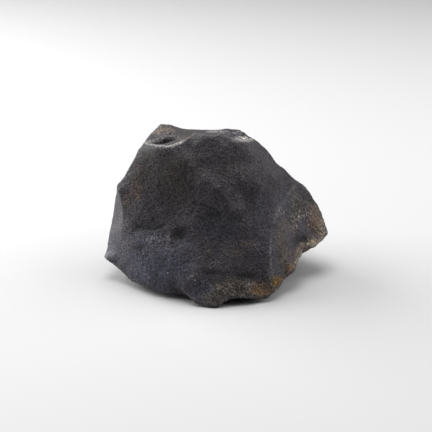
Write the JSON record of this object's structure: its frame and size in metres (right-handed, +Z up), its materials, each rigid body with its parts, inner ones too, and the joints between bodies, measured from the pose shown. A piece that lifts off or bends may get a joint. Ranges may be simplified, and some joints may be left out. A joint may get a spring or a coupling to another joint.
{
  "type": "meteorite",
  "caption": "Angular dark stony meteorite with broken facets, hollows and weathered rusty patches; stands on a flat facet as a display or collection stone.",
  "frame": {"origin": "middle of the stone's box, on the plane of the facet it rests on", "axes": "+X along the stone's longest side, to the right as seen from its front; +Y from the front to the back; +Z up from the resting facet, the shortest side"},
  "size_m": [0.08, 0.0604, 0.0533],
  "materials": {
    "stone": "weathered dark crust, matt, with rusty and pale broken patches"
  },
  "bodies": {
    "root": {"meteorite": "stone"}
  },
  "joints": []
}
